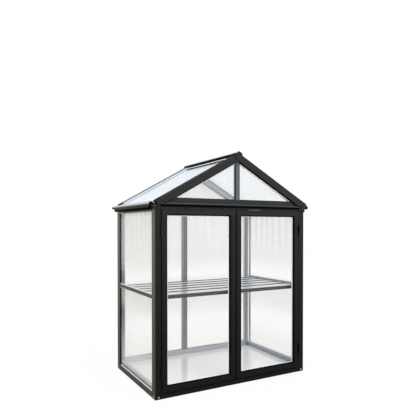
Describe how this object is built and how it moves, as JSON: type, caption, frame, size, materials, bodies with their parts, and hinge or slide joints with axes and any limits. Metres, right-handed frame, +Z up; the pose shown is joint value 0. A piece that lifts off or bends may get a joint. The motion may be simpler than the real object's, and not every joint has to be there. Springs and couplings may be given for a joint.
{
  "type": "greenhouse",
  "caption": "Small free-standing greenhouse with a black metal frame, translucent ribbed sheets, a gable roof, double doors and a slatted shelf.",
  "frame": {"origin": "on the ground, in the middle of the outline seen from above", "axes": "+Z up, +Y towards the back, +X to the right seen from the doors"},
  "size_m": [1.07, 0.675, 1.341],
  "materials": {
    "frame": "satin black powder coat",
    "wall_sheet": "ribbed translucent twin-wall sheet",
    "roof_sheet": "ribbed translucent twin-wall sheet",
    "door_sheet": "clear ribbed sheet",
    "floor": "pale smooth sheet",
    "shelf": "satin grey powder coat",
    "hinge": "satin black",
    "fastener": "zinc plated",
    "gasket": "pale glazing seal",
    "end_cap": "black plug in the open end of an eave rail"
  },
  "bodies": {
    "frame": {"corner_post_front_left": "frame", "corner_post_front_right": "frame", "corner_post_back_left": "frame", "corner_post_back_right": "frame", "base_rail_front": "frame", "base_rail_left": "frame", "base_rail_right": "frame", "base_rail_back": "frame", "side_top_rail_left": "frame", "side_top_rail_right": "frame", "side_transom_left": "frame", "side_transom_right": "frame", "back_mullion": "frame", "tie_beam_front": "frame", "tie_beam_back": "frame", "eave_corners": "frame", "gable_panel_front": "wall_sheet", "gable_panel_back": "wall_sheet", "roof_panel_left": "roof_sheet", "roof_panel_right": "roof_sheet", "rafter_front_left": "frame", "rafter_front_right": "frame", "rafter_back_left": "frame", "rafter_back_right": "frame", "eave_rail_left": "frame", "eave_rail_right": "frame", "ridge_beam": "frame", "ridge_cap": "frame", "king_post_front": "frame", "side_panels_left": "wall_sheet", "side_panels_right": "wall_sheet", "back_panels": "wall_sheet", "floor_panel": "floor", "shelf_rails": "shelf", "shelf_slats": "shelf", "left_post_hinges": "hinge", "right_post_hinges": "hinge"},
    "left_door": {"left_door_stiles": "frame", "left_door_rails": "frame", "left_door_pane": "door_sheet", "left_door_hinges": "hinge"},
    "right_door": {"right_door_stiles": "frame", "right_door_rails": "frame", "right_door_pane": "door_sheet", "right_door_hinges": "hinge"}
  },
  "joints": [
    {"name": "left_door_hinge", "type": "hinge", "parent": "frame", "child": "left_door", "pos_m": [-0.4645, -0.312, 0.5175], "axis": [0, 0, -1], "range_deg": [0, 170]},
    {"name": "right_door_hinge", "type": "hinge", "parent": "frame", "child": "right_door", "pos_m": [0.4645, -0.312, 0.5175], "axis": [0, 0, 1], "range_deg": [0, 170]}
  ]
}
